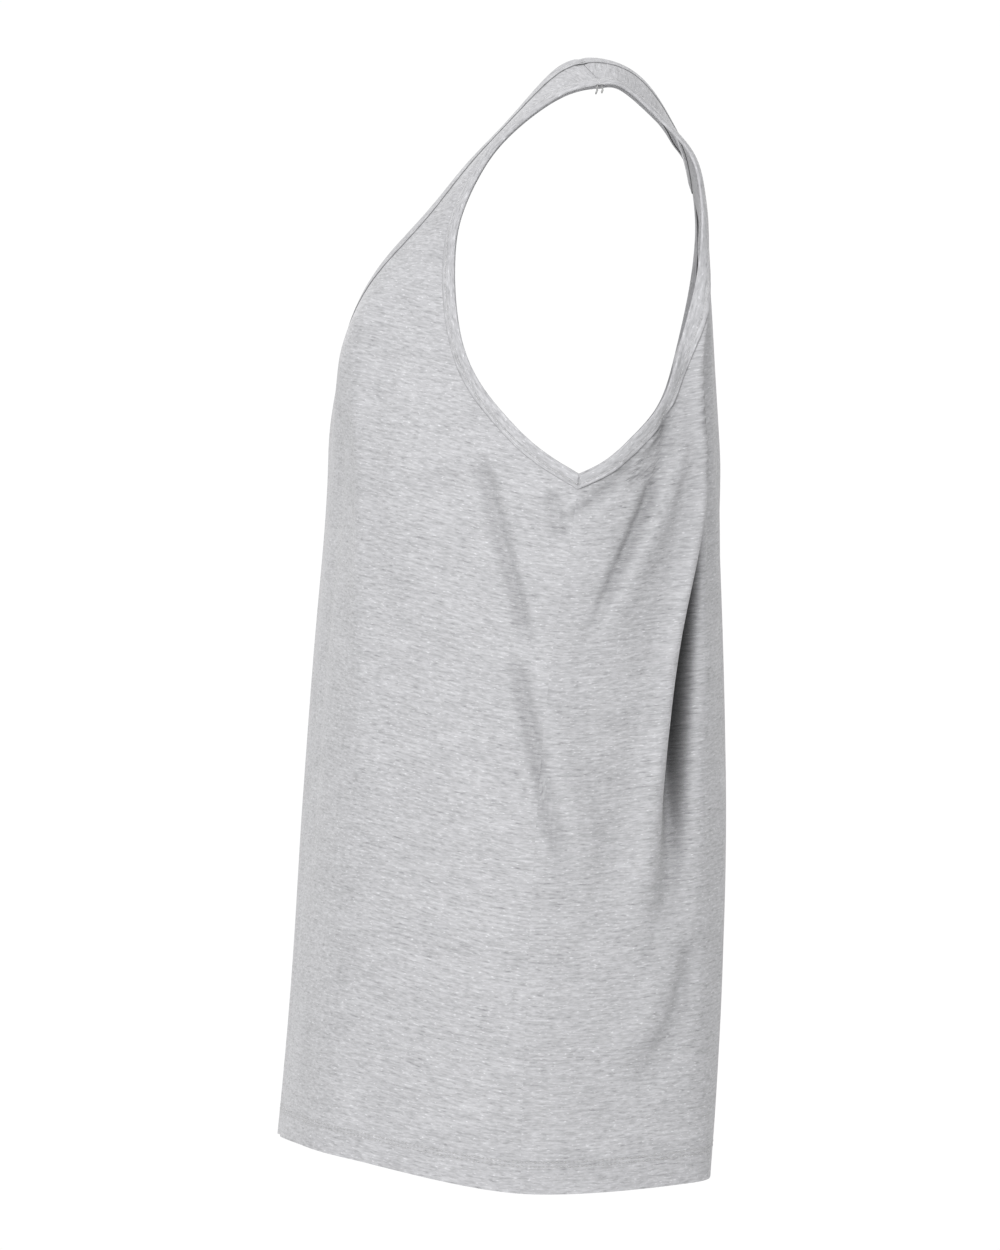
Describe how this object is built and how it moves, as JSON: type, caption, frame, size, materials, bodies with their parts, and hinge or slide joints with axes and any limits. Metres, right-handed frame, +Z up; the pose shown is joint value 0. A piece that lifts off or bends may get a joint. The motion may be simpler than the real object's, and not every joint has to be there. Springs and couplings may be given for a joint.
{
  "type": "tank top",
  "caption": "Loose scoop-neck tank top in grey heather jersey, bound at the neck and deep armholes, in its worn shape, hollow and open at neck, arms and hem.",
  "frame": {"origin": "midway between the two shoulder straps, at the height of their seams, where the wearer's shoulders hold the garment", "axes": "+Z up, the chest faces -Y, the wearer's left is +X"},
  "size_m": [0.406, 0.2994, 0.7493],
  "materials": {
    "jersey": "soft matt heather jersey"
  },
  "bodies": {
    "root": {"front": "jersey", "back": "jersey", "neck_binding": "jersey", "armhole_binding_left": "jersey", "armhole_binding_right": "jersey"}
  },
  "joints": []
}
